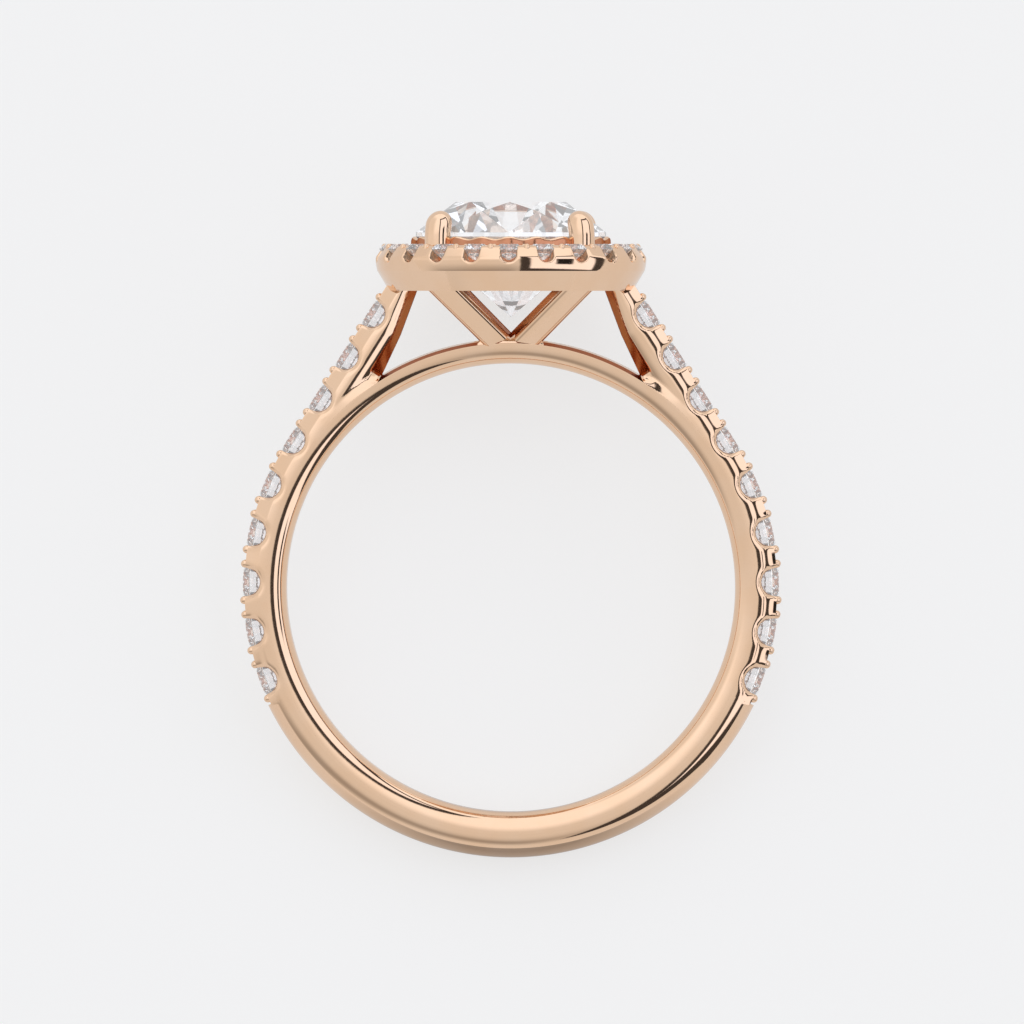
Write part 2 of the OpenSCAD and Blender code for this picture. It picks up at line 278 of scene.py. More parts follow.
# How steeply the bands' faces sink where the hoop covers them
SUNK_SLOPE = 1.5
# How far each part's face lies below the hoop's, so that no two faces share a plane
PLAIN_SINK, ROW_SINK, FOOT_SINK = 0.0005, 0.002, 0.0008
# How far outside the row's dome the plain band's sits
PLAIN_SHIFT = 0.08
# Tables of a surface's tilt in degrees, by the distance across it
HOOP_TILT = [(0, 0), (0.12, 4.5), (0.27, 9), (0.36, 16), (0.43, 24), (0.48, 34), (0.52, 42),
             (0.6, 55), (0.68, 68), (0.74, 84)]
PLAIN_TILT = [(-0.62, 0), (-0.5, 4.5), (-0.38, 9), (-0.15, 32), (-0.07, 43.8)]
ROW_TILT = [(-0.62, 0), (-0.48, 4.5), (-0.33, 9), (-0.25, 32), (-0.15, 43), (-0.05, 38),
            (0.05, 30), (0.2, 20)]
NOTCH_TILT = [(0, 0), (0.05, 4.5), (0.11, 9), (0.15, 30), (0.2, 43), (0.255, 60)]
INNER_TILT = [(0, 0), (0.06, 4.5), (0.2, 9), (0.38, 22), (0.47, 36), (0.54, 50)]
FOOT_TILT = [(0, 0), (0.1, 6), (0.25, 20), (0.45, 34), (0.7, 42)]
# Inner edge of the shoulder's face and the window's wall, by the way down the row
SHOULDER_LINE = [(-0.5, -0.12), (0.09, -0.25), (0.45, -0.33), (0.75, -0.4), (1.2, -0.48),
                 (2.5, -0.485), (3.3, -0.475), (4.1, -0.45), (5.4, -0.43)]
WINDOW_LINE = [(-0.7, -0.84), (1.0, -1.2), (2.65, -1.41)]
WINDOW_END, SHOULDER_END = 2.66, 5.4
# Depth of the groove between shoulder and hoop, by the way down the row
GROOVE = [(2.64, 6), (2.66, 2.0), (2.9, 0.4), (3.1, 0.16), (3.6, 0.06), (4.2, 0.02), (5.4, 0.0)]
# Shares of a stone's diameter
HALF_GIRDLE, CROWN, PAVILION, HALF_TABLE = 0.011, 0.16, 0.423, 0.29
# Space round a stone in its seat, and straight below it
SEAT_GAP, GAP_BELOW = 0.02, 0.026


def crown_of(d):
    """Height of a stone's table above the middle of its girdle"""
    return d * (CROWN + HALF_GIRDLE)


class RowLine:
    """The line of the side stones: straight down the shoulder, then round the band"""

    def __init__(self):
        s = sizes()
        self.finger_r = mm(s.finger_d) / 2
        self.crown = crown_of(mm(s.side_stone_d))
        self.wall = mm(s.scallop_wall) + self.finger_r
        proud, inside_halo = 0.06, 0.2
        table_r = self.wall + proud
        self.girdle_r = table_r - self.crown
        self.lift = self.wall - self.girdle_r
        self.top = Vector((mm(s.halo_r) - inside_halo, mm(s.halo_foot)))
        self.angle = math.atan2(self.top.y, self.top.x) - math.acos(table_r / self.top.length)
        self.straight = math.sqrt(self.top.length ** 2 - table_r ** 2)
        self.pitch = mm(s.side_pitch)
        self.count = s.side_count
        self.end = self.count * self.pitch
        self.end_angle = self.angle - (self.end - self.straight) / self.girdle_r
        self.ways = [self.pitch * (i + 0.5) for i in range(self.count)]

    def place(self, way, lift, z):
        """Point on the right-hand side, a way down the row and a lift above its girdles"""
        if way < self.straight:
            turn = self.angle
            foot = self.top + way * Vector((math.sin(turn), -math.cos(turn)))
            reach = lift - self.crown
            return Vector((foot.x + reach * math.cos(turn), foot.y + reach * math.sin(turn), z))
        turn = self.angle - (way - self.straight) / self.girdle_r
        r = self.girdle_r + lift
        return Vector((r * math.cos(turn), r * math.sin(turn), z))

    def standing(self, way):
        """Matrix that stands a shape on the row, its +Z pointing outwards"""
        turn = self.angle - max(0, way - self.straight) / self.girdle_r
        out = Vector((math.cos(turn), math.sin(turn), 0))
        down = Vector((math.sin(turn), -math.cos(turn), 0))
        spin = Matrix((down, out.cross(down), out)).transposed().to_4x4()
        return Matrix.Translation(self.place(way, 0, 0)) @ spin


def seat_cone(bm, d, place):
    """Space under a stone with a little clearance, open upwards"""
    r, depth, open_above = d / 2, d * PAVILION, 0.6
    low = -d * HALF_GIRDLE - depth - GAP_BELOW
    wide = r + SEAT_GAP
    tall = wide * depth / r
    cone = bmesh.ops.create_cone(bm, cap_ends=True, segments=32, radius1=0.002, radius2=wide,
                                 depth=tall, matrix=place @ Matrix.Translation((0, 0, low + tall / 2)))
    rim = [v for v in cone["verts"] if (place.inverted() @ v.co).z > low + 0.5 * depth]
    cap = [f for f in bm.faces if all(v in rim for v in f.verts)]
    up = bmesh.ops.extrude_face_region(bm, geom=cap)
    lifted = [v for v in up["geom"] if isinstance(v, bmesh.types.BMVert)]
    bmesh.ops.delete(bm, geom=cap, context="FACES")
    axis = (place.to_3x3() @ Vector((0, 0, 1))).normalized()
    bmesh.ops.translate(bm, verts=lifted, vec=axis * open_above)


def bead(bm, d, top, root, place):
    """Round-topped grip bead"""
    r = d / 2
    line = [(0, 0, -root), (r, 0, -root), (r, 0, top - r)]
    line += [(x, 0, z) for x, z in arc(0, top - r, r, 0, 90, 6)][1:-1] + [(0, 0, top)]
    axis = place.to_3x3() @ Vector((0, 0, 1))
    turn_full(bm, [place @ Vector(p) for p in line], axis, 20, place.translation, closed=False)


# Pieces

def hoop_mesh():
    s = sizes()
    r = mm(s.finger_d) / 2
    half, half_rim = mm(s.band_w) / 2, 0.3
    mouth, rows = HOOP_TILT[-1][0], 48
    down = [mouth * k / rows for k in range(rows + 1)]
    near = [(r + mouth - x, 0, half - fall(HOOP_TILT, x)) for x in reversed(down)]
    near += [(HOOP_EDGE, 0, half), (HOOP_RIM, 0, half_rim)]
    crest = (r + mm(s.hoop_wall), 0, 0)
    far = [(x, 0, -z) for x, _, z in near[::-1]]
    bm = bmesh.new()
    turn_full(bm, near + [crest] + far, (0, 0, 1), 288)
    made_sound(bm)
    return bm


def plain_band_mesh():
    s = sizes()
    row = RowLine()
    half = mm(s.band_w) / 2
    crown_r = row.finger_r + mm(s.plain_wall)
    face = [SUNK, 8.9, HOOP_EDGE, 9.06, 9.1, 9.15, 9.2, 9.24, 9.28, 9.32, 9.36, 9.4, 9.44, 9.48, 9.52]
    near = [(r, 0, half - PLAIN_SINK - fall(PLAIN_TILT, r - row.girdle_r - PLAIN_SHIFT)
             - SUNK_SLOPE * max(0, HOOP_EDGE - r)) for r in face]
    dome, dome_from = 1.2, 46.2
    near += [(x, 0, z) for x, z in arc(crown_r - dome, 0, dome, dome_from, 0, 16)]
    section = near + [(x, 0, -z) for x, _, z in near[-2::-1]]
    under_row = 0.004
    start = row.end_angle + under_row
    bm = bmesh.new()
    geom = draw(bm, section)
    swing(bm, start, "Z")
    bmesh.ops.spin(bm, geom=geom, cent=(0, 0, 0), axis=(0, 0, 1), angle=-(math.pi + 2 * start),
                   steps=150, use_duplicate=False)
    bmesh.ops.holes_fill(bm, edges=bm.edges, sides=0)
    made_sound(bm)
    ends = [f for f in bm.faces if len(f.verts) > 10]
    outside = 9.44
    rims = {e for f in ends for e in f.edges
            if min(math.hypot(v.co.x, v.co.y) for v in e.verts) > outside}
    round_edges(bm, list(rims), 0.12, 5, clamp=True)
    made_sound(bm)
    return bm


# Where the row's face starts to turn into the plain band's, and over what length
BLEND_FROM, BLEND_LENGTH = 15.8, 0.7
# How far past the last notch the row's end starts to slip under the plain band, and how deep
ROW_OVERLAP, ROW_HIDDEN = 0.11, 0.05
# Widths of the rounded lips of the side notches and of the halo's
LIP, HALO_LIP = 0.255, 0.1


def share_past(x, start, span):
    """0 up to the start, 1 from the end of the span, even between them"""
    return max(0.0, min(1.0, (x - start) / span))


def shoulder_depth(way, lift, r):
    """Depth of the shoulder's inner slope, which ends at the window's wall or in the groove"""
    past = along(SHOULDER_LINE, way) - lift
    if way >= SHOULDER_END or past <= 0:
        return 0
    inner = fall(INNER_TILT, past)
    window = along(SHOULDER_LINE, way) - along(WINDOW_LINE, way)
    # The slope is steep only at its end, as the wall of the window
    wall_from = min(0.5, 0.72 * window)
    if way < WINDOW_END and past > wall_from:
        start = fall(INNER_TILT, wall_from)
        inner = start + (1 - start) * share_past(past, wall_from, max(1e-6, window - wall_from))
    if r > HOOP_EDGE:
        return min(inner, along(GROOVE, way) * (r - HOOP_EDGE) / 0.4)
    return 0 if way >= WINDOW_END else inner


def row_depth(row, way, lift, notches):
    """How far the scalloped band's face lies below its flat, at a place on the row"""
    plain = share_past(way, BLEND_FROM, BLEND_LENGTH)
    height = lift - PLAIN_SHIFT * plain
    low = fall(ROW_TILT, height) * (1 - plain) + fall(PLAIN_TILT[:4] + ROW_TILT[5:], height) * plain
    for centre, middle, radius in notches:
        if abs(way - centre) < 1:
            rho = math.hypot(way - centre, lift - middle)
            low += fall(NOTCH_TILT, LIP - (rho - radius)) if rho < radius + LIP else 0
    place = row.place(way, lift, 0)
    r = math.hypot(place.x, place.y)
    hidden = ROW_HIDDEN * share_past(way, row.end + ROW_OVERLAP, 0.05)
    under_hoop = 0.07
    return (low + shoulder_depth(way, lift, r) + hidden
            + SUNK_SLOPE * max(0, HOOP_EDGE - under_hoop - r))


def scalloped_mesh():
    s = sizes()
    row = RowLine()
    half = mm(s.band_w) / 2 - ROW_SINK
    radius, sink, beyond = 0.495, 0.14, 0.6
    height = row.crown - sink
    notches = [(way, height, radius) for way in row.ways]
    lip = math.degrees(math.asin((row.lift - height) / radius))
    points = [WINDOW_LINE[0], (-0.9, -0.3), (-0.9, row.lift)]
    for way in row.ways:
        points += arc(way, height, radius, 180 - lip, 360 + lip, 22)
    points += [(row.end, row.lift), (row.end + ROW_OVERLAP, -0.14), (row.end + beyond, -0.25),
               (row.end + beyond, -0.66), (row.straight, -0.66)]
    for way in (6.0, 5.45, 4.8, 4.1, 3.4):
        points.append((way, math.sqrt(SUNK ** 2 - (row.straight - way) ** 2) - row.girdle_r))
    points += WINDOW_LINE[:0:-1]
    bm = bmesh.new()
    slab(bm, points, half, -half)
    bm.normal_update()

    def on_notch(v):
        return any(abs(math.hypot(v.co.x - x, v.co.y - y) - radius) < 1e-3 for x, y, _ in notches)

    rims = [e for e in bm.edges
            if abs(e.verts[0].co.z - e.verts[1].co.z) < 1e-6 and all(on_notch(v) for v in e.verts)
            and (e.verts[0].co - e.verts[1].co).length < 0.2]
    round_edges(bm, rims, 0.12, 4)
    first, step = -0.7, 0.09
    for k in range(195):
        slice_at(bm, (first + step * k, 0, 0), (1, 0, 0))
    lifts = [-1.4 + 0.05 * k for k in range(17)] + [-0.56 + 0.04 * k for k in range(6)]
    lifts += [-0.33, -0.31, -0.29, -0.27, -0.25, -0.22, -0.19, -0.15, -0.1, -0.05, 0, 0.05, 0.1, 0.15]
    for lift in lifts:
        slice_at(bm, (0, lift, 0), (0, 1, 0))
    for v in bm.verts:
        depth = min(half, row_depth(row, v.co.x, v.co.y, notches))
        v.co = row.place(v.co.x, v.co.y, math.copysign(half - depth, v.co.z))
    made_sound(bm)
    seats = bmesh.new()
    for way in row.ways:
        seat_cone(seats, mm(s.side_stone_d), row.standing(way))
    bmesh.ops.recalc_face_normals(seats, faces=seats.faces)
    return carved(bm, seats)


def side_beads_mesh():
    """Four beads round each side stone, two on each side of the notch"""
    row = RowLine()
    half = mm(sizes().band_w) / 2
    from_stone, d, above, root = 0.671, 0.29, 0.09, 0.35
    bm = bmesh.new()
    for way in row.ways:
        for x in (-from_stone, from_stone):
            for y in (-half / 2, half / 2):
                spot = row.standing(way) @ Matrix.Translation((x, y, 0))
                bead(bm, d, row.crown + above, root, spot)
    made_sound(bm)
    return bm


HALO_CREASE = 0.73
HALO_TILT = [(0, -31), (0.24, -31), (0.48, -31), (HALO_CREASE - 1e-4, -31), (HALO_CREASE, -19),
             (0.76, -15), (0.8, -13), (0.85, -11.5), (0.9, -10), (0.95, -8), (1.0, -6), (1.05, -4),
             (1.1, -2), (1.14, 0.5), (1.17, 3), (1.2, 9), (1.225, 17), (1.25, 26), (1.275, 31.5),
             (1.3, 35), (1.4, 35), (1.5, 35), (1.54, 38), (1.58, 46), (1.63, 60), (1.67, 72)]
HALO_NOTCH_TILT = [(0, 0), (0.03, 6), (0.05, 15), (0.07, 35), (0.1, 62)]
# Depth of the halo's wall, and how far its foot stands inside the widest line
HALO_WALL, HALO_STEP = 0.62, 0.465


def halo_row():
    """Radius of the circle of halo stones, and the height of their girdles"""
    s = sizes()
    from_rim, below_top = 0.07, 0.14
    return (mm(s.halo_r) - from_rim - mm(s.halo_stone_d) / 2,
            mm(s.halo_foot) + mm(s.halo_h) - below_top)


def halo_wall_mesh():
    """One stone's share of the notched wall, then the whole wall from copies turned round"""
    s = sizes()
    halo_r, halo_h, foot = mm(s.halo_r), mm(s.halo_h), mm(s.halo_foot)
    share = math.pi * halo_r / s.halo_count
    radius, height = 0.29, halo_h - 0.33
    points = [(-share, 0), (share, 0), (share, halo_h), (radius, halo_h)]
    points += arc(0, height, radius, 0, -180, 20)
    points += [(-radius, halo_h), (-share, halo_h)]
    bm = bmesh.new()
    slab(bm, points, 0, -HALO_WALL)
    rims = [e for e in bm.edges
            if all(abs(v.co.z) < 1e-6 and abs(v.co.x) < radius + 1e-4
                   and v.co.y > height - radius - 1e-4 for v in e.verts)]
    round_edges(bm, rims, HALO_LIP, 4)
    for k in range(1, 12):
        slice_at(bm, (share * (k / 6 - 1), 0, 0), (1, 0, 0))
    for level, _ in HALO_TILT[1:-1]:
        slice_at(bm, (0, level, 0), (0, 1, 0))
    inner_face = -0.5
    for v in bm.verts:
        out = halo_r + v.co.z
        if v.co.z > inner_face:
            rho = abs(v.co.x) if v.co.y > height else math.hypot(v.co.x, v.co.y - height)
            out = halo_r - HALO_STEP - fall(HALO_TILT, v.co.y)
            if rho < radius + HALO_LIP:
                out -= fall(HALO_NOTCH_TILT, HALO_LIP - (rho - radius))
        way_round = v.co.x / halo_r
        v.co = Vector((out * math.sin(way_round), foot + v.co.y, out * math.cos(way_round)))
    edge = share / halo_r
    sides = [f for f in bm.faces
             if all(abs(abs(math.atan2(v.co.x, v.co.z)) - edge) < 1e-4 for v in f.verts)]
    bmesh.ops.delete(bm, geom=sides, context="FACES")
    copy_round(bm, s.halo_count)
    made_sound(bm)
    return carved(bm, halo_seats(lap=0.12))


def on_halo(turn, radius, height):
    """Matrix that stands a shape on the halo, its +Z pointing to the head"""
    up = Matrix.Rotation(-math.pi / 2, 4, "X")
    return Matrix.Rotation(turn, 4, "Y") @ Matrix.Translation((0, height, radius)) @ up


def halo_seats(lap=0):
    """Seats of the halo stones, narrower where the metal laps over them"""
    s = sizes()
    stone_r, girdle = halo_row()
    bm = bmesh.new()
    for i in range(s.halo_count):
        seat_cone(bm, mm(s.halo_stone_d) - 2 * lap,
                  on_halo(2 * math.pi * i / s.halo_count, stone_r, girdle))
    bmesh.ops.recalc_face_normals(bm, faces=bm.faces)
    return bm


def halo_base_mesh():
    s = sizes()
    inner, foot, top = mm(s.centre_stone_d) / 2, mm(s.halo_foot), mm(s.halo_foot + s.halo_h)
    outer = 4.45
    section = [(inner + 0.08, foot), (outer, foot), (outer, top - 0.05)]
    section += arc(inner + 0.14, top - 0.15, 0.12, 90, 180, 5)
    section += arc(inner + 0.1, foot + 0.08, 0.08, 180, 260, 4)
    bm = bmesh.new()
    turn_full(bm, [(x, y, 0) for x, y in section], (0, 1, 0), 176)
    made_sound(bm)
    return carved(bm, halo_seats())


def collar_mesh():
    """Wavy ring of metal that stands up from the halo, close under the centre stone"""
    s = sizes()
    inner, top = mm(s.centre_stone_d) / 2 + 0.03, mm(s.halo_foot + s.halo_h) + 0.33
    section = [(inner, top - 0.45), (inner + 0.15, top - 0.45), (inner + 0.14, top - 0.15),
               (inner + 0.11, top - 0.06), (inner + 0.06, top - 0.01), (inner, top)]
    dip, bulge = 0.045, 0.03
    bm = bmesh.new()
    turn_full(bm, [(x, y, 0) for x, y in section], (0, 1, 0), 264)
    for v in bm.verts:
        wave = math.cos(s.halo_count * math.atan2(v.co.x, v.co.z))
        if v.co.y > top - 0.2:
            v.co.y -= dip * (1 - wave)
        out = math.hypot(v.co.x, v.co.z)
        if out > inner + 0.01:
            wider = (out + bulge * wave) / out
            v.co *= Vector((wider, 1, wider))
    made_sound(bm)
    return bm


def halo_beads_mesh():
    """Two beads between each pair of halo stones"""
    s = sizes()
    stone_r, girdle = halo_row()
    d, above, root = 0.24, 0.2, 0.3
    bm = bmesh.new()
    for i in range(s.halo_count):
        between = 2 * math.pi * (i + 0.5) / s.halo_count
        for radius in (stone_r - mm(s.halo_stone_d) / 2 + 0.06, mm(s.halo_r) - 0.3):
            bead(bm, d, above, root, on_halo(between, radius, girdle))
    made_sound(bm)
    return bm


def centre_space():
    """Space of the centre stone with a little clearance"""
    s = sizes()
    d, gap, above_halo = mm(s.centre_stone_d), 0.015, 0.32
    wide, half_girdle = d / 2 + gap, d * HALF_GIRDLE
    middle = mm(s.halo_foot + s.halo_h) + above_halo + half_girdle
    shoulder, table = middle + half_girdle + gap, middle + half_girdle + d * CROWN + gap
    section = [(0, middle - half_girdle - d * PAVILION - gap), (wide, middle - half_girdle),
               (wide, shoulder), (d * HALF_TABLE + gap, table), (0, table)]
    bm = bmesh.new()
    turn_full(bm, [(x, y, 0) for x, y in section], (0, 1, 0), 64, closed=False)
    made_sound(bm)
    return bm


def elbow_place():
    """Distance of the prongs from the stone's axis, and the height where the bars meet them"""
    s = sizes()
    bite, above_foot = 0.17, 0.61
    return (mm(s.centre_stone_d) / 2 - bite + mm(s.prong_side) / 2,
            mm(s.halo_foot) + above_foot)


def four_round(bm):
    """Turns the mesh to its corner of the centre stone and repeats it at the other three"""
    swing(bm, math.pi / 4, "Y")
    copy_round(bm, 4)
    made_sound(bm)


def prongs_mesh():
    """Wires that stand beside the stone, each with a domed tip that leans in over it"""
    s = sizes()
    centre, elbow = elbow_place()
    start, above_halo = elbow - 0.3, 1.27
    top = mm(s.halo_foot + s.halo_h) + above_halo
    bm = bmesh.new()
    bmesh.ops.create_circle(bm, cap_ends=True, segments=32, radius=mm(s.prong_wire) / 2)
    swing(bm, -math.pi / 2, "X")
    bmesh.ops.translate(bm, verts=bm.verts, vec=(0, start, centre))
    ring = bm.faces[:]
    dome = 0.5
    # Height, share of the wire's width and lean towards the stone
    levels = [(elbow, 1, 0), (top - dome - 0.4, 1, 0), (top - dome - 0.2, 1, 0.02)]
    for t in (0, 12, 24, 36, 48, 60, 70, 80, 87):
        rise = math.sin(math.radians(t))
        levels.append((top - dome + dome * rise, math.cos(math.radians(t)), 0.05 + 0.09 * rise))
    here, size, lean = start, 1, 0
    for level, scale, shift in levels:
        grown = bmesh.ops.extrude_face_region(bm, geom=ring)
        bmesh.ops.delete(bm, geom=ring, context="FACES")
        verts = [v for v in grown["geom"] if isinstance(v, bmesh.types.BMVert)]
        ring = [f for f in grown["geom"] if isinstance(f, bmesh.types.BMFace)]
        bmesh.ops.translate(bm, verts=verts, vec=(0, level - here, lean - shift))
        middle = sum((v.co for v in verts), Vector()) / len(verts)
        bmesh.ops.scale(bm, verts=verts, vec=(scale / size, 1, scale / size),
                        space=Matrix.Translation(-middle))
        here, size, lean = level, scale, shift
    bmesh.ops.holes_fill(bm, edges=bm.edges, sides=0)
    four_round(bm)
    return carved(bm, centre_space())


def gallery_mesh():
    """Bars from the prongs' elbows down to the middle of the hoop"""
    bar = mm(sizes().gallery_bar)
    centre, height = elbow_place()
    drop, hoop_top, twist = 0.26, 8.9, math.radians(52)
    elbow, foot = height - drop, hoop_top - drop
    slope = math.atan2(elbow - foot, centre)
    reach = math.hypot(elbow - foot, centre)
    into_prong, short = 0.3, 0.35
    bm = bmesh.new()
    bmesh.ops.create_cube(bm, size=1)
    bmesh.ops.scale(bm, vec=(bar, bar, reach + into_prong - short), verts=bm.verts)
    long_edges = [e for e in bm.edges
                  if abs(e.verts[0].co.x - e.verts[1].co.x) < 1e-6
                  and abs(e.verts[0].co.y - e.verts[1].co.y) < 1e-6]
    round_edges(bm, long_edges, 0.22, 8)
    swing(bm, twist, "Z")
    bmesh.ops.translate(bm, verts=bm.verts, vec=(0, 0, (into_prong + short - reach) / 2))
    swing(bm, -slope, "X")
    bmesh.ops.translate(bm, verts=bm.verts, vec=(0, elbow, centre))
    four_round(bm)
    return bm


def gallery_foot_mesh():
    """The web that blends the bars into the top of the hoop, on both faces of the band"""
    half, half_least = mm(sizes().band_w) / 2 - FOOT_SINK, 0.3
    start = 8.88
    side = [(1.25, 8.72), (1.2, 9.06), (0.9, 9.36), (0.62, 9.62), (0.45, 9.6), (0.2, 9.36)]
    points = [(-side[0][0], side[0][1])] + side + [(0, 9.2)] + [(-x, y) for x, y in side[:0:-1]]
    bm = bmesh.new()
    slab(bm, points, half, -half)
    rims = [e for e in bm.edges
            if abs(e.verts[0].co.z - e.verts[1].co.z) < 1e-6 and all(v.co.y > 9 for v in e.verts)]
    round_edges(bm, rims, 0.07, 4, clamp=True)
    for k in range(9):
        slice_at(bm, (0, start + 0.08 * k, 0), (0, 1, 0))
    for v in bm.verts:
        low = fall(FOOT_TILT, v.co.y - start) + 0.06 * max(0, abs(v.co.x) - 0.6)
        v.co.z = math.copysign(max(half_least, abs(v.co.z) - low), v.co.z)
        v.co.y -= max(0, start - v.co.y) * 0.2
    made_sound(bm)
    return bm


# Materials

def socket(tree, name, way, kind, value=None):
    made = tree.interface.new_socket(name=name, in_out=way, socket_type=kind)
    if value is not None:
        made.default_value = value
    return made


def put(node, values):
    """Sets a node's inputs by their names or numbers"""
    for name, value in values.items():
        node.inputs[name].default_value = value


def new_material(name):
    """A new material with its nodes, its link call and its shader"""
    material = bpy.data.materials.new(name)
    material.use_nodes = True
    tree = material.node_tree
    return material, tree.nodes, tree.links.new, tree.nodes["Principled BSDF"]


def colour_mix(nodes):
    mix = nodes.new("ShaderNodeMix")
    mix.data_type = "RGBA"
    return mix


def in_millimetres(nodes, link):
    """The place on the piece in millimetres, since the scene is in metres"""
    where, scale = nodes.new("ShaderNodeTexCoord"), nodes.new("ShaderNodeMapping")
    put(scale, {"Scale": (1000, 1000, 1000)})
    link(where.outputs["Object"], scale.inputs["Vector"])
    return scale.outputs["Vector"]


def polish_group():
    """Fine marks and drifts of tone that hand polishing leaves on gold"""
    tree = bpy.data.node_groups.new("Hand Polish", "ShaderNodeTree")
    socket(tree, "Vector", "INPUT", "NodeSocketVector")
    socket(tree, "Colour", "INPUT", "NodeSocketColor")
    socket(tree, "Warm Colour", "INPUT", "NodeSocketColor")
    socket(tree, "Roughness", "INPUT", "NodeSocketFloat", 0.05)
    socket(tree, "Mark Size", "INPUT", "NodeSocketFloat", 6.0)
    socket(tree, "Colour", "OUTPUT", "NodeSocketColor")
    socket(tree, "Roughness", "OUTPUT", "NodeSocketFloat")
    socket(tree, "Height", "OUTPUT", "NodeSocketFloat")
    nodes, link = tree.nodes, tree.links.new
    into, out = nodes.new("NodeGroupInput"), nodes.new("NodeGroupOutput")
    drift, marks = nodes.new("ShaderNodeTexNoise"), nodes.new("ShaderNodeTexNoise")
    put(drift, {"Scale": 0.9, "Detail": 3})
    put(marks, {"Detail": 4, "Roughness": 0.62})
    tone, rough = nodes.new("ShaderNodeMapRange"), nodes.new("ShaderNodeMapRange")
    put(tone, {"From Min": 0.35, "From Max": 0.65})
    put(rough, {"From Min": 0.3, "From Max": 0.75})
    mix = colour_mix(nodes)
    for share, end in ((0.75, "To Min"), (1.5, "To Max")):
        part = nodes.new("ShaderNodeMath")
        part.operation = "MULTIPLY"
        put(part, {1: share})
        link(into.outputs["Roughness"], part.inputs[0])
        link(part.outputs["Value"], rough.inputs[end])
    link(into.outputs["Vector"], drift.inputs["Vector"])
    link(into.outputs["Vector"], marks.inputs["Vector"])
    link(into.outputs["Mark Size"], marks.inputs["Scale"])
    link(drift.outputs["Fac"], tone.inputs["Value"])
    link(tone.outputs["Result"], mix.inputs["Factor"])
    link(into.outputs["Colour"], mix.inputs["A"])
    link(into.outputs["Warm Colour"], mix.inputs["B"])
    link(marks.outputs["Fac"], rough.inputs["Value"])
    link(mix.outputs["Result"], out.inputs["Colour"])
    link(rough.outputs["Result"], out.inputs["Roughness"])
    link(marks.outputs["Fac"], out.inputs["Height"])
    return tree


# Fineness of the polishing marks and strength of their relief in each rose gold
GOLDS = {"Band": (5, 0.12), "Halo": (4, 0.15), "Beads": (9, 0.08), "Wire": (7, 0.1),
         "Recess Shade": (8, 0.2)}


def rose_gold(name, marks, bump, painted_shade):
    """Polished rose gold, or the duller recess gold whose dark colour is painted shade and reflection;
    the polished one is painted paler where it is seen through a stone, painted light that whitens the
    stones
    """
    f = finish()
    material, nodes, link, shader = new_material(name)
    # The recess gold's dark colour and tinted specular are painted shade and reflection; its higher
    # roughness is real dullness
    put(shader, {"Metallic": 1, "Coat Weight": 0,
                 "Specular Tint": (0.6, 0.36, 0.28, 1) if painted_shade else (1, 1, 1, 1)})
    polish = nodes.new("ShaderNodeGroup")
    polish.node_tree = bpy.data.node_groups.get("Hand Polish") or polish_group()
    put(polish, {"Colour": (*(f.gold_painted_shade if painted_shade else f.gold), 1),
                 "Warm Colour": (*(f.gold_painted_shade if painted_shade else f.gold_warm), 1),
                 "Roughness": 0.2 if painted_shade else f.gold_roughness, "Mark Size": marks})
    # Painted light: in rays that came through a stone the polished gold is mixed towards pale grey, which
    # whitens the stones; the recess gold keeps its colour there
    ray, share = nodes.new("ShaderNodeLightPath"), nodes.new("ShaderNodeMapRange")
    put(share, {"To Max": 0 if painted_shade else 0.5})
    through = colour_mix(nodes)
    put(through, {"B": (0.92, 0.9, 0.88, 1)})
    relief = nodes.new("ShaderNodeBump")
    put(relief, {"Strength": bump, "Distance": 0.000004})
    link(in_millimetres(nodes, link), polish.inputs["Vector"])
    link(ray.outputs["Transmission Depth"], share.inputs["Value"])
    link(share.outputs["Result"], through.inputs["Factor"])
    link(polish.outputs["Colour"], through.inputs["A"])
    link(through.outputs["Result"], shader.inputs["Base Color"])
    link(polish.outputs["Roughness"], shader.inputs["Roughness"])
    link(polish.outputs["Height"], relief.inputs["Height"])
    link(relief.outputs["Normal"], shader.inputs["Normal"])
    return material


def gold_for(part):
    name = "Rose Gold " + part
    return bpy.data.materials.get(name) or rose_gold(name, *GOLDS[part], part == "Recess Shade")


def diamond(name, glow):
    """Clear cut stone with a faint drift of tint and a faint painted glow that lifts its dark facets"""
    f = finish()
    material, nodes, link, shader = new_material(name)
    # The emission is a painted glow: the stone glows a little though it is no lamp
    put(shader, {"Transmission Weight": 1, "Metallic": 0, "IOR": 2.42, "Roughness": 0,
                 "Emission Color": (1, 1, 1, 1), "Emission Strength": glow})
    tint, mix = nodes.new("ShaderNodeTexNoise"), colour_mix(nodes)
    put(tint, {"Scale": 0.7})
    put(mix, {"A": (*f.stone, 1), "B": (f.stone[0] * 0.97, f.stone[1] * 0.98, f.stone[2], 1)})
    link(in_millimetres(nodes, link), tint.inputs["Vector"])
    link(tint.outputs["Fac"], mix.inputs["Factor"])
    link(mix.outputs["Result"], shader.inputs["Base Color"])
    return material


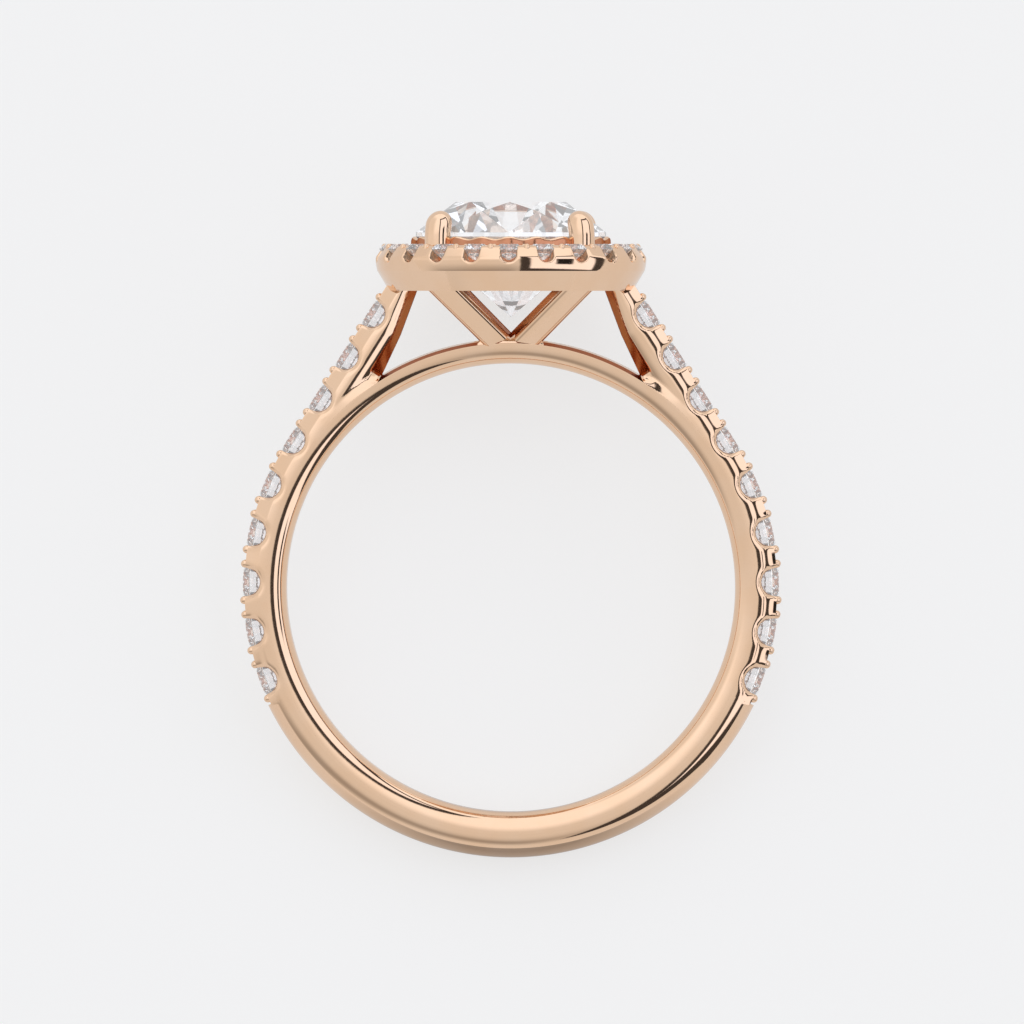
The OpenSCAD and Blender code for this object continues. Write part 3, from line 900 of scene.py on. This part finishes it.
def pale_floor(name):
    """Pale floor with an even glow of its own; in reflections the glow is dimmer, most of all in the
    plain band, which paints shade into the gold's reflections
    """
    f = finish()
    material, nodes, link, shader = new_material(name)
    put(shader, {"Roughness": 0.9, "Specular IOR Level": 0.1, "Emission Color": (1, 1, 1, 1)})
    ray, glow = nodes.new("ShaderNodeLightPath"), nodes.new("ShaderNodeMapRange")
    put(glow, {"To Min": f.floor_glow})
    near, ahead = nodes.new("ShaderNodeVectorMath"), nodes.new("ShaderNodeMapRange")
    near.operation = "DISTANCE"
    # The place on the floor that the plain band's dome mirrors, where the glow seen in reflections is
    # dimmest: painted shade on the dome
    put(near, {1: (0, -0.0165, 0)})
    put(ahead, {"From Min": 0.005, "From Max": 0.012, "To Min": f.floor_glow * 0.2,
                "To Max": f.floor_glow * 0.85})
    where, grain = nodes.new("ShaderNodeTexCoord"), nodes.new("ShaderNodeTexNoise")
    put(grain, {"Scale": 20})
    mix = colour_mix(nodes)
    put(mix, {"A": (*f.floor, 1), "B": (*(c * 0.995 for c in f.floor), 1)})
    link(ray.outputs["Is Reflection Ray"], glow.inputs["Value"])
    link(glow.outputs["Result"], shader.inputs["Emission Strength"])
    link(where.outputs["Object"], near.inputs[0])
    link(near.outputs["Value"], ahead.inputs["Value"])
    link(ahead.outputs["Result"], glow.inputs["To Max"])
    link(where.outputs["Object"], grain.inputs["Vector"])
    link(grain.outputs["Fac"], mix.inputs["Factor"])
    link(mix.outputs["Result"], shader.inputs["Base Color"])
    return material


# Studio

def card_group():
    """A soft-edged card in the studio, between two azimuths and two elevations in degrees"""
    tree = bpy.data.node_groups.new("Studio Card", "ShaderNodeTree")
    for name, value in (("Azimuth", 0), ("Elevation", 0), ("Left", 0), ("Right", 1), ("Bottom", 0),
                        ("Top", 1), ("Blur", 2)):
        socket(tree, name, "INPUT", "NodeSocketFloat", value)
    socket(tree, "Mask", "OUTPUT", "NodeSocketFloat")
    nodes, link = tree.nodes, tree.links.new
    into, out = nodes.new("NodeGroupInput"), nodes.new("NodeGroupOutput")

    def math_node(kind, a, b):
        node = nodes.new("ShaderNodeMath")
        node.operation = kind
        for k, source in enumerate((a, b)):
            if isinstance(source, (int, float)):
                node.inputs[k].default_value = source
            else:
                link(source, node.inputs[k])
        return node.outputs["Value"]

    def ramp(value, edge, rising):
        past = math_node("SUBTRACT", value, edge) if rising else math_node("SUBTRACT", edge, value)
        step = nodes.new("ShaderNodeMapRange")
        step.interpolation_type = "SMOOTHSTEP"
        half = math_node("MULTIPLY", into.outputs["Blur"], 0.5)
        link(past, step.inputs["Value"])
        link(math_node("MULTIPLY", half, -1), step.inputs["From Min"])
        link(half, step.inputs["From Max"])
        return step.outputs["Result"]

    across = math_node("MULTIPLY", ramp(into.outputs["Azimuth"], into.outputs["Left"], True),
                       ramp(into.outputs["Azimuth"], into.outputs["Right"], False))
    up = math_node("MULTIPLY", ramp(into.outputs["Elevation"], into.outputs["Bottom"], True),
                   ramp(into.outputs["Elevation"], into.outputs["Top"], False))
    link(math_node("MULTIPLY", across, up), out.inputs["Mask"])
    return tree


# Cards seen from the ring: left, right, bottom, top, edge blur in degrees, then the colour
CARDS = [
    (-180, 180, 4, 90, 17, (1.17, 1.19, 1.24)),
    (-170, -35, 0, 60, 30, (0.86, 0.86, 0.86)),
    (-75, 9, -47, -20, 24, (0.4, 0.39, 0.38)),
    (9, 88, -43, 55, 2.5, (0.06, 0.055, 0.055)),
    (18, 78, -24, 46, 3, (1.2, 1.23, 1.36)),
    (40.5, 56, -13, 8, 4, (0.02, 0.02, 0.02)),
]


def studio_world():
    world = bpy.data.worlds.new("Studio")
    world.use_nodes = True
    nodes, link = world.node_tree.nodes, world.node_tree.links.new
    back = nodes["Background"]
    where = nodes.new("ShaderNodeTexCoord")

    def dot(axis):
        node = nodes.new("ShaderNodeVectorMath")
        node.operation = "DOT_PRODUCT"
        node.inputs[1].default_value = axis
        link(where.outputs["Generated"], node.inputs[0])
        return node.outputs["Value"]

    def degrees(kind, *sources):
        node = nodes.new("ShaderNodeMath")
        node.operation = kind
        for k, source in enumerate(sources):
            link(source, node.inputs[k])
        scale = nodes.new("ShaderNodeMath")
        scale.operation = "DEGREES"
        link(node.outputs["Value"], scale.inputs[0])
        return scale.outputs["Value"]

    azimuth = degrees("ARCTAN2", dot(RIGHT), dot(NEAR))
    elevation = degrees("ARCSINE", dot(HEAD))
    group = card_group()
    room = nodes.new("ShaderNodeRGB")
    room.outputs[0].default_value = (0.78, 0.78, 0.78, 1)
    result = room.outputs[0]
    for left, right, bottom, top, blur, colour in CARDS:
        card = nodes.new("ShaderNodeGroup")
        card.node_tree = group
        link(azimuth, card.inputs["Azimuth"])
        link(elevation, card.inputs["Elevation"])
        put(card, {"Left": left, "Right": right, "Bottom": bottom, "Top": top, "Blur": blur})
        mix = colour_mix(nodes)
        put(mix, {"B": (*colour, 1)})
        link(card.outputs["Mask"], mix.inputs["Factor"])
        link(result, mix.inputs["A"])
        result = mix.outputs["Result"]
    link(result, back.inputs["Color"])
    back.inputs["Strength"].default_value = finish().light
    bpy.context.scene.world = world


def floor_piece():
    bm = bmesh.new()
    bmesh.ops.create_circle(bm, cap_ends=True, segments=96, radius=0.6)
    bmesh.ops.translate(bm, verts=bm.verts, vec=(0, 0, CAD_BOX[0].z))
    floor = as_object(bm, "floor")
    floor.data.materials.append(pale_floor("Pale Floor"))


def studio_camera():
    away, view_width, sensor = 0.8, 0.0377, 36
    azimuth, elevation = math.radians(1.0), math.radians(0.7)
    aim = LAY_DOWN @ Vector((0.037, 2.78, 0))
    toward = (NEAR * math.cos(elevation) * math.cos(azimuth)
              + RIGHT * math.cos(elevation) * math.sin(azimuth) + HEAD * math.sin(elevation))
    data = bpy.data.cameras.new("Camera")
    data.sensor_width = sensor
    data.lens = sensor * away / view_width
    data.clip_start, data.clip_end = 0.01, 10
    camera = bpy.data.objects.new("Camera", data)
    across = HEAD.cross(toward).normalized()
    up = toward.cross(across)
    camera.matrix_world = (Matrix.Translation(aim + toward * away)
                           @ Matrix((across, up, toward)).transposed().to_4x4())
    bpy.context.scene.collection.objects.link(camera)
    bpy.context.scene.camera = camera


# Operators

class RING_OT_hoop(bpy.types.Operator):
    """Makes the slim hoop that runs all round the finger"""
    bl_idname = "halo_ring.hoop"
    bl_label = "Finger Hoop"

    def execute(self, context):
        # Painted shade and reflection: the hoop's walls in the windows get the recess gold
        def in_window(middle, normal):
            return HOOP_EDGE + 0.002 < math.hypot(middle.x, middle.y) < HOOP_RIM

        keep(hoop_mesh(), "finger_hoop", "Band", painted_shade_faces=in_window)
        return {"FINISHED"}


class RING_OT_plain_band(bpy.types.Operator):
    """Makes the plain domed band round the bottom"""
    bl_idname = "halo_ring.plain_band"
    bl_label = "Plain Band"

    def execute(self, context):
        keep(plain_band_mesh(), "plain_band", "Band")
        return {"FINISHED"}


class RING_OT_side_bands(bpy.types.Operator):
    """Makes the scalloped bands that rise to the halo, with their grip beads"""
    bl_idname = "halo_ring.side_bands"
    bl_label = "Scalloped Bands"

    def execute(self, context):
        row = RowLine()
        seats = [row.standing(way).inverted() for way in row.ways]
        seat_r, seat_low, seat_high, shoulder_foot = 0.77, -0.72, 0.25, 6.5

        # Painted shade and reflection: seat walls that face a stone get the recess gold
        def in_seat(middle, normal):
            side = math.copysign(1, middle.x)
            for seat in seats:
                spot = seat @ Vector((side * middle.x, middle.y, middle.z))
                if math.hypot(spot.x, spot.y) < seat_r and seat_low < spot.z < seat_high:
                    faces = seat.to_3x3() @ Vector((side * normal.x, normal.y, normal.z))
                    return spot.x * faces.x + spot.y * faces.y < 0
            return False

        # Painted shade and reflection: the shoulders' walls in the windows, and the seats, get the recess
        # gold
        def in_painted_shade(middle, normal):
            inward = abs(normal.x) * math.cos(row.angle) - normal.y * math.sin(row.angle)
            in_window = (middle.x * normal.x < 0 and inward > 0.3 and abs(normal.z) < 0.62
                         and middle.y > shoulder_foot
                         and math.hypot(middle.x, middle.y) > HOOP_EDGE)
            return in_window or in_seat(middle, normal)

        right, right_beads = scalloped_mesh(), side_beads_mesh()
        keep(mirrored(right), "left_scalloped_band", "Band", 40, painted_shade_faces=in_painted_shade)
        keep(right, "right_scalloped_band", "Band", 40, painted_shade_faces=in_painted_shade)
        keep(mirrored(right_beads), "left_grip_beads", "Beads")
        keep(right_beads, "right_grip_beads", "Beads")
        return {"FINISHED"}


class RING_OT_halo(bpy.types.Operator):
    """Makes the halo's notched wall, its base, its beads and the collar under the centre stone"""
    bl_idname = "halo_ring.halo"
    bl_label = "Halo"

    def execute(self, context):
        s = sizes()
        crease = mm(s.halo_foot) + HALO_CREASE
        step = 2 * math.pi / s.halo_count
        stone_r, _ = halo_row()
        seat_r, seat_low, seat_high = 0.56, 11.6, 12.53

        # Painted shade and reflection: the halo base's seat walls get the recess gold
        def in_seat(middle, normal):
            way_round = math.atan2(middle.x, middle.z)
            from_axis = math.hypot(middle.x, middle.z)
            off = from_axis * math.sin(way_round - step * round(way_round / step))
            return math.hypot(off, from_axis - stone_r) < seat_r and seat_low < middle.y < seat_high

        keep(halo_wall_mesh(), "halo_wall", "Halo", 40, crease)
        keep(halo_base_mesh(), "halo_base", "Halo", painted_shade_faces=in_seat)
        keep(halo_beads_mesh(), "halo_beads", "Beads")

        # Painted shade and reflection: the collar's sides get the recess gold
        def side(middle, normal):
            return normal.y < 0.5

        keep(collar_mesh(), "stone_collar", "Halo", painted_shade_faces=side)
        return {"FINISHED"}


class RING_OT_gallery(bpy.types.Operator):
    """Makes the prongs and the bars that carry them"""
    bl_idname = "halo_ring.gallery"
    bl_label = "Prongs and Gallery"

    def execute(self, context):
        # Painted shade and reflection: the bars' upper sides, facing the stone, get the recess gold
        def upper_side(middle, normal):
            return normal.y > 0.42

        keep(prongs_mesh(), "prongs", "Wire")
        keep(gallery_mesh(), "gallery_bars", "Wire", painted_shade_faces=upper_side)
        keep(gallery_foot_mesh(), "gallery_foot", "Wire", 40)
        return {"FINISHED"}


class RING_OT_stones(bpy.types.Operator):
    """Gives the cut stones their diamond finish"""
    bl_idname = "halo_ring.stones"
    bl_label = "Stones"

    def execute(self, context):
        # Both kinds of stone get a faint painted glow
        large, small = diamond("Centre Diamond", 0.05), diamond("Small Diamond", 0.048)
        for name, node in frame["nodes"].items():
            if "stone" in name:
                node.material_slots[0].material = large if name == "centre_stone" else small
        return {"FINISHED"}


class RING_OT_stage(bpy.types.Operator):
    """Lays the floor and sets the studio light and the camera"""
    bl_idname = "halo_ring.stage"
    bl_label = "Stage"

    def execute(self, context):
        floor_piece()
        studio_world()
        studio_camera()
        context.scene.view_settings.view_transform = "Standard"
        return {"FINISHED"}


class RING_PT_panel(bpy.types.Panel):
    """Lists the ring's pieces and its sizes"""
    bl_idname = "RING_PT_panel"
    bl_label = "Halo Ring"
    bl_space_type = "VIEW_3D"
    bl_region_type = "UI"
    bl_category = "Halo Ring"

    def draw(self, context):
        for step in STEPS:
            self.layout.operator(step.bl_idname)
        for group in (context.scene.ring_sizes, context.scene.ring_finish):
            box = self.layout.box()
            for name in group.bl_rna.properties.keys():
                if name not in ("rna_type", "name"):
                    box.prop(group, name)


STEPS = (RING_OT_hoop, RING_OT_plain_band, RING_OT_side_bands, RING_OT_halo, RING_OT_gallery,
         RING_OT_stones, RING_OT_stage)
CLASSES = (RingSizes, RingFinish) + STEPS + (RING_PT_panel,)


def register():
    for cls in CLASSES:
        bpy.utils.register_class(cls)
    bpy.types.Scene.ring_sizes = PointerProperty(type=RingSizes)
    bpy.types.Scene.ring_finish = PointerProperty(type=RingFinish)


def unregister():
    del bpy.types.Scene.ring_finish
    del bpy.types.Scene.ring_sizes
    for cls in reversed(CLASSES):
        bpy.utils.unregister_class(cls)


def main():
    register()
    bpy.ops.halo_ring.hoop()
    bpy.ops.halo_ring.plain_band()
    bpy.ops.halo_ring.side_bands()
    bpy.ops.halo_ring.halo()
    bpy.ops.halo_ring.gallery()
    bpy.ops.halo_ring.stones()
    bpy.ops.halo_ring.stage()


if __name__ == "__main__":
    main()
